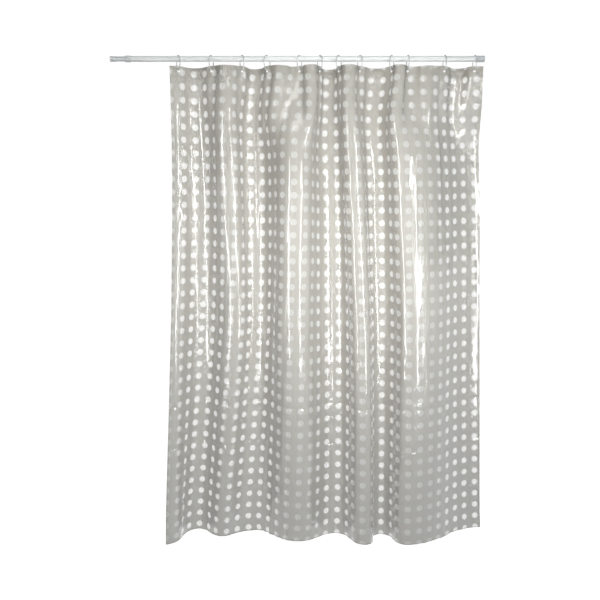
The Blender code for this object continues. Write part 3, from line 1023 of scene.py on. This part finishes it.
def bare_film(name, **inputs):
    """Soft vinyl film: glossy and mottled grey, with painted shade on the slopes of its folds, most on those
    that turn to the left. Comes with its place on the cut sheet and its grey."""
    vinyl = Finish(name, IOR=1.53, Coat_Weight=0.8, Coat_Roughness=0.03, Coat_IOR=1.53, **inputs)
    cut = vinyl.node("ShaderNodeUVMap", {"uv_map": "cut"}, {})
    turn = vinyl.stored("turn")
    # Painted shade: the slopes of the folds darken as they turn from the front, most where they turn to the
    # left.
    painted_slope_shade = vinyl.fade(turn, -0.35, -0.9) + vinyl.fade(turn, 0.6, 0.95, 0.0, 0.5)
    mottled = vinyl.mix(vinyl.noise(cut, 14.0, 4.0, (1, 0.4, 1)), FILM_GREY, FILM_SHADE)
    grey = vinyl.mix(painted_slope_shade, mottled, FILM_PAINTED_SLOPE_SHADE)
    vinyl.set(Base_Color=grey)
    return vinyl, cut, grey


def windowed_film(name):
    """The film with its round windows, which are clearer, and painted light: pale spots that stand for light
    thrown through the windows onto a wall behind. They lie on the windows in the folds' backs and beside them
    on near folds."""
    vinyl, cut, grey = bare_film(name)
    place = vinyl.node("ShaderNodeSeparateXYZ", {}, {"Vector": cut}, "X")
    level = vinyl.node("ShaderNodeSeparateXYZ", {}, {"Vector": cut}, "Y") * -1
    # The print runs a little askew: its rows start lower on the right.
    first = vinyl.fade(place, 0.0, SHEET_WIDTH / 2, FIRST_DOT_LEFT, FIRST_DOT_RIGHT)

    def discs(shift, soft):
        """1 inside the round windows and 0 outside, with the whole print shifted and softened."""
        along = (place + shift) / DOT_PITCH_ACROSS + 0.5
        down = (level - first) / DOT_PITCH_DOWN + 0.5
        right = (along.fraction() - 0.5) * DOT_PITCH_ACROSS
        up = (down.fraction() - 0.5) * DOT_PITCH_DOWN
        away = (right * right + up * up).root()
        return vinyl.fade(away, DOT_DIAMETER / 2 - soft, DOT_DIAMETER / 2 + soft, 1.0, 0.0)

    nearness = vinyl.stored("nearness")
    window = discs(0.0, 0.0006)
    # Painted light: pale spots painted on the film itself. On near folds they shift off the windows, soften
    # and fade. They lighten the film they fall on and make the windows clearer.
    painted_light_spot = discs(nearness * 0.017, nearness * 0.004 + 0.0008) * (1 - nearness * 0.75)
    film_with_painted_light = vinyl.mix(painted_light_spot * 0.14, grey, FILM_PAINTED_LIGHT)
    vinyl.set(Base_Color=vinyl.mix(window, film_with_painted_light, vinyl.mix(painted_light_spot, WINDOW_GREY, WINDOW_PAINTED_LIGHT)))
    vinyl.set(Alpha=0.85 - window * (0.04 + painted_light_spot * 0.32))
    vinyl.set(Roughness=vinyl.fade(vinyl.noise(cut, 30.0, 3.0), 0.3, 0.7, 0.08, 0.18))
    # Fine waves and lines run down the film. It is crumpled in patches, most of all along the top.
    waves = vinyl.noise(cut, 70.0, 2.0, (1, 0.07, 1))
    lines = vinyl.noise(cut, 150.0, 2.0, (1, 0.10, 1))
    crumple = vinyl.noise(cut, 120.0, 3.0, (1, 0.5, 1))
    worn = vinyl.fade(vinyl.noise(cut, 6.0, 2.0), 0.46, 0.60)
    handled = vinyl.fade(level, 0.12, 0.03) * vinyl.fade(vinyl.noise(cut, 11.0, 1.0), 0.45, 0.60)
    crumpled = crumple * (worn * 1.1 + handled * 2.4)
    vinyl.bump(waves * 0.7 + lines * 0.4 + crumpled + window * 0.04, 0.003, 0.9)
    return vinyl.material


def nearness_of(points):
    """How near the front each point of the sheet is, from 0 in a fold's back to 1 on its front."""
    away = points[..., 1]
    return 1 - smooth((away + 0.085) / 0.14)


def turn_of(points):
    """How far each point of the sheet is turned from the front, from -1 to the left to 1 to the right. The
    film's finish paints shade on the slopes from it."""
    return normals_of(points)[..., 0] * np.sign(-normals_of(points)[..., 1])


def dress(piece, points):
    """Gives a piece of film the two values that its finish reads."""
    for name, values in (("nearness", nearness_of(points)), ("turn", turn_of(points))):
        attribute = piece.data.attributes.new(name, "FLOAT", "POINT")
        attribute.data.foreach_set("value", values.ravel().astype(np.float32))


def follow_the_draw(piece):
    """Gives a piece of the sheet a mesh of its own."""
    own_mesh(piece)


film_points, hole_cells = with_holes(film)
sheet = finished(
    "curtain_film",
    film_mesh("curtain_film", film_points, fine_columns, fine_levels, hole_cells),
    windowed_film("sheet_vinyl"),
    "sheet",
    "curtain_sheet",
    180,
)
dress(sheet, film_points)


# The header and the hems.
# A strip of the same film without windows is welded behind the top edge to carry the holes, and
# the two sides and the bottom are turned back and welded, so they look darker than the sheet.

HEADER_GAP = 0.0006
SIDE_HEM = 0.007

hem_film = bare_film("hem_vinyl", Alpha=0.35, Roughness=0.2)[0].material


def strip(name, rows, columns, cad_node=None):
    """A welded strip behind part of the sheet, from its own rows and columns of points."""
    behind = film_points - normals_of(film) * HEADER_GAP
    cells = {(r - rows.start, c - columns.start) for r, c in hole_cells}
    mesh = film_mesh(name, behind[rows, columns], fine_columns[columns], fine_levels[rows], cells)
    piece = finished(name, mesh, hem_film, "sheet", cad_node, 180)
    follow_the_draw(piece)
    return piece


last_row, last_column = len(fine_levels), len(fine_columns)
header_rows = nearest(fine_levels, HEADER_HEIGHT) + 1
side_columns = max(nearest(fine_columns, SIDE_HEM), 1) + 1
side_rows = slice(header_rows - 1, last_row)
header = strip("header_strip", slice(0, header_rows), slice(0, last_column), "header_band")
side_hems = [
    strip("side_hem_left", side_rows, slice(0, side_columns)),
    strip("side_hem_right", side_rows, slice(last_column - side_columns, last_column)),
]
between_sides = slice(side_columns - 1, last_column - side_columns + 1)
bottom_hem = strip("bottom_hem", slice(last_row - 2, last_row), between_sides)

follow_the_draw(sheet)


# The room.
# A pale floor and an even white room, cool from the right and warmer and dimmer from the left. Two
# tall soft lamps draw the bright lines down the folds, and three broad ones light the film. The
# curtain is looked at from a little above its middle.

FLOOR_DROP = 0.012
FLOOR_HALF_WIDTH = 60
ROOM_LEFT = (0.08, 0.07, 0.05, 1)
ROOM_RIGHT = (0.22, 0.235, 0.24, 1)
ROOM_SEEN = (1.02, 1.02, 1.02, 1)
TALL_LAMP = {"width": 0.34, "height": 1.9, "power": 40}
CURTAIN_MIDDLE = -0.7
EYE = (-0.731, -3.0, -0.526)
EYE_DOWN = 9.0
LENS = 43.6
LENS_SHIFT = 0.014

floor_finish = Finish("floor", Roughness=0.85, Emission_Strength=0.93)
floor_tone = floor_finish.noise(floor_finish.place(), 3.0, 2.0)
floor_finish.set(Base_Color=floor_finish.mix(floor_tone, (0.93, 0.93, 0.93), (0.95, 0.95, 0.95)))
floor_finish.set(Emission_Color=(1, 1, 1, 1))
shape = bmesh.new()
bmesh.ops.create_grid(shape, x_segments=1, y_segments=1, size=FLOOR_HALF_WIDTH)
bmesh.ops.translate(shape, verts=shape.verts, vec=(CURTAIN_MIDDLE, 0, cad_box[0][2] - FLOOR_DROP))
floor_mesh = bpy.data.meshes.new("floor")
shape.to_mesh(floor_mesh)
shape.free()
floor_mesh.materials.append(floor_finish.material)
floor = bpy.data.objects.new("floor", floor_mesh)
# The floor's own light stays off the film.
floor.visible_diffuse = False
bpy.context.scene.collection.objects.link(floor)

world = bpy.data.worlds.new("room")
bpy.context.scene.world = world
world.use_nodes = True
sky = world.node_tree
direction = step(sky, "ShaderNodeTexCoord", output="Generated")
sideways = step(sky, "ShaderNodeSeparateXYZ", inputs={0: direction}, output="X")
rightness = step(sky, "ShaderNodeMapRange", inputs={"Value": sideways, "From Min": -1})
tone = step(sky, "ShaderNodeMix", {"data_type": "RGBA"}, {0: rightness, 6: ROOM_LEFT, 7: ROOM_RIGHT}, 2)
seen = step(sky, "ShaderNodeLightPath", output="Is Camera Ray")
shown = step(sky, "ShaderNodeMix", {"data_type": "RGBA"}, {0: seen, 6: tone, 7: ROOM_SEEN}, 2)
sky.links.new(shown, sky.nodes["Background"].inputs["Color"])


def soft_lamp(name, place, aim, width, height, power, spread=180, glossy=True, diffuse=True):
    """A soft rectangular lamp that faces a point on the curtain. Its light can be kept out of the
    film's shines, or kept to them."""
    lamp = bpy.data.lights.new(name, "AREA")
    lamp.shape = "RECTANGLE"
    lamp.size = width
    lamp.size_y = height
    lamp.energy = power
    lamp.spread = math.radians(spread)
    stand = bpy.data.objects.new(name, lamp)
    bpy.context.scene.collection.objects.link(stand)
    facing = (Vector(aim) - Vector(place)).to_track_quat("-Z", "Y")
    stand.matrix_world = Matrix.Translation(place) @ facing.to_matrix().to_4x4()
    stand.visible_glossy = glossy
    stand.visible_diffuse = diffuse


curtain_centre = (CURTAIN_MIDDLE, 0, -1.05)
soft_lamp("lamp_right", (1.15, -2.2, -1.05), curtain_centre, **TALL_LAMP, diffuse=False)
soft_lamp("lamp_left", (-2.75, -2.2, -1.05), curtain_centre, **TALL_LAMP, diffuse=False)
soft_lamp("key", (-0.45, -1.5, -0.62), (-0.60, 0, -0.76), 1.0, 0.6, 9, spread=105, glossy=False)
soft_lamp("overhead", (-0.75, -0.9, 0.7), (-0.75, 0, 0), 2.0, 0.4, 8)
back_aim = (CURTAIN_MIDDLE, 0, -0.4)
soft_lamp("back", (CURTAIN_MIDDLE, 1.8, -0.2), back_aim, 1.6, 0.8, 14, spread=80, glossy=False)

view = bpy.data.cameras.new("view")
view.lens = LENS
view.sensor_width = 36
view.shift_y = LENS_SHIFT
camera = bpy.data.objects.new("view", view)
bpy.context.scene.collection.objects.link(camera)
camera.location = EYE
camera.rotation_euler = (math.radians(90 - EYE_DOWN), 0, 0)
bpy.context.scene.camera = camera
bpy.context.scene.view_settings.view_transform = "Standard"
